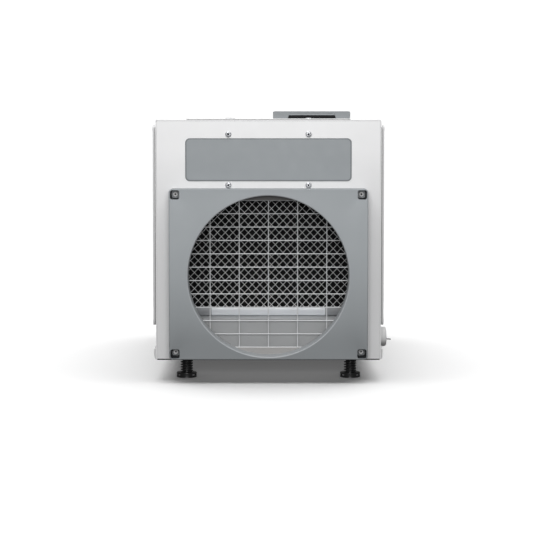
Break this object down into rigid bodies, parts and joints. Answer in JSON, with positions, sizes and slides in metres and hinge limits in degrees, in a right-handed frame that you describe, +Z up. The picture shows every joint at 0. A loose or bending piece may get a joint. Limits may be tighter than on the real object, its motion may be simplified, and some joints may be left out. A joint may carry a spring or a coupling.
{
  "type": "ducted dehumidifier",
  "caption": "White sheet-steel dehumidifier on levelling feet, with a square inlet collar and wire grille in front of a filter, a round outlet collar with a damper, and a low control on top.",
  "frame": {"origin": "centre of the footprint on the floor, under the middle of the bounding box", "axes": "+Z up, the square inlet collar faces -Y, the round outlet collar faces +Y, the drain fitting is at +X"},
  "size_m": [0.388, 0.712, 0.4319],
  "materials": {
    "white_steel": "fine powder coat, satin",
    "grey_plastic": "moulded, fine texture",
    "plate_grey": "smooth satin overlay",
    "wire_steel": "bright zinc wire",
    "filter_card": "coated card",
    "filter_black": "pleated media",
    "mesh_wire": "expanded wire, satin",
    "galvanised": "zinc coated sheet",
    "tray_grey": "moulded, satin",
    "fitting_white": "moulded, satin",
    "fin_aluminium": "mill finish",
    "copper": "drawn tube, satin",
    "brass": "machined",
    "black_paint": "gloss enamel",
    "black_rubber": "moulded",
    "zinc": "zinc plated",
    "foam": "closed-cell foam",
    "component_black": "moulded",
    "can_aluminium": "drawn can",
    "sensor_white": "moulded",
    "board_green": "solder mask",
    "window_black": "polished",
    "button_grey": "soft touch",
    "fan_black": "moulded",
    "shaft_steel": "ground",
    "duct_steel": "zinc coated sheet",
    "foot_black": "moulded"
  },
  "bodies": {
    "cabinet": {"base_pan": "white_steel", "cabinet_wrapper": "white_steel", "front_panel": "white_steel", "rear_panel": "white_steel", "top_cover_plate": "white_steel", "side_cover_left": "white_steel", "side_cover_right": "white_steel", "inlet_collar": "grey_plastic", "name_plate": "plate_grey", "inlet_grille": "wire_steel", "filter_frame": "filter_card", "filter_media": "filter_black", "filter_mesh": "mesh_wire", "filter_channel_lower": "galvanised", "filter_channel_upper": "galvanised", "drain_pan": "tray_grey", "drain_fitting": "fitting_white", "evaporator_fins": "fin_aluminium", "evaporator_tubes": "copper", "condenser_fins": "fin_aluminium", "condenser_tubes": "copper", "coil_end_plates": "galvanised", "coil_bulkhead": "galvanised", "top_insulation": "foam", "compressor": "black_paint", "compressor_grommets": "black_rubber", "compressor_bolts": "zinc", "suction_accumulator": "black_paint", "filter_drier": "copper", "expansion_valve": "brass", "refrigerant_lines": "copper", "electrical_box": "galvanised", "transformer": "component_black", "run_capacitor": "can_aluminium", "terminal_block": "component_black", "humidity_sensor": "sensor_white", "power_gland": "black_rubber", "control_housing": "grey_plastic", "display_window": "window_black", "control_insert": "component_black", "control_board": "board_green", "fan_bulkhead": "galvanised", "fan_inlet_ring": "galvanised", "fan_motor": "black_paint", "motor_bracket": "galvanised", "outlet_collar": "duct_steel", "cabinet_screws": "zinc", "collar_screws": "zinc", "side_cover_screws": "zinc"},
    "fan_wheel": {"impeller": "fan_black", "impeller_shaft": "shaft_steel"},
    "damper": {"damper_flap": "duct_steel", "damper_shaft": "shaft_steel"},
    "power_button": {"button_power": "button_grey"},
    "down_button": {"button_down": "button_grey"},
    "up_button": {"button_up": "button_grey"},
    "front_left_foot": {"foot_front_left": "foot_black"},
    "front_right_foot": {"foot_front_right": "foot_black"},
    "rear_left_foot": {"foot_rear_left": "foot_black"},
    "rear_right_foot": {"foot_rear_right": "foot_black"}
  },
  "joints": [
    {"name": "fan_spin", "type": "hinge", "parent": "cabinet", "child": "fan_wheel", "pos_m": [-0.00795, 0.155, 0.205], "axis": [0, 1, 0], "continuous": true},
    {"name": "damper_swing", "type": "hinge", "parent": "cabinet", "child": "damper", "pos_m": [-0.00795, 0.338, 0.225], "axis": [1, 0, 0], "range_deg": [0, 70]},
    {"name": "power_press", "type": "slide", "parent": "cabinet", "child": "power_button", "axis": [0, 0, -1], "range_m": [0, 0.001], "stiffness_N_per_m": 400, "springref_m": -0.0005},
    {"name": "down_press", "type": "slide", "parent": "cabinet", "child": "down_button", "axis": [0, 0, -1], "range_m": [0, 0.001], "stiffness_N_per_m": 400, "springref_m": -0.0005},
    {"name": "up_press", "type": "slide", "parent": "cabinet", "child": "up_button", "axis": [0, 0, -1], "range_m": [0, 0.001], "stiffness_N_per_m": 400, "springref_m": -0.0005},
    {"name": "front_left_foot_height", "type": "slide", "parent": "cabinet", "child": "front_left_foot", "axis": [0, 0, -1], "range_m": [0, 0.012]},
    {"name": "front_right_foot_height", "type": "slide", "parent": "cabinet", "child": "front_right_foot", "axis": [0, 0, -1], "range_m": [0, 0.012]},
    {"name": "rear_left_foot_height", "type": "slide", "parent": "cabinet", "child": "rear_left_foot", "axis": [0, 0, -1], "range_m": [0, 0.012]},
    {"name": "rear_right_foot_height", "type": "slide", "parent": "cabinet", "child": "rear_right_foot", "axis": [0, 0, -1], "range_m": [0, 0.012]}
  ]
}
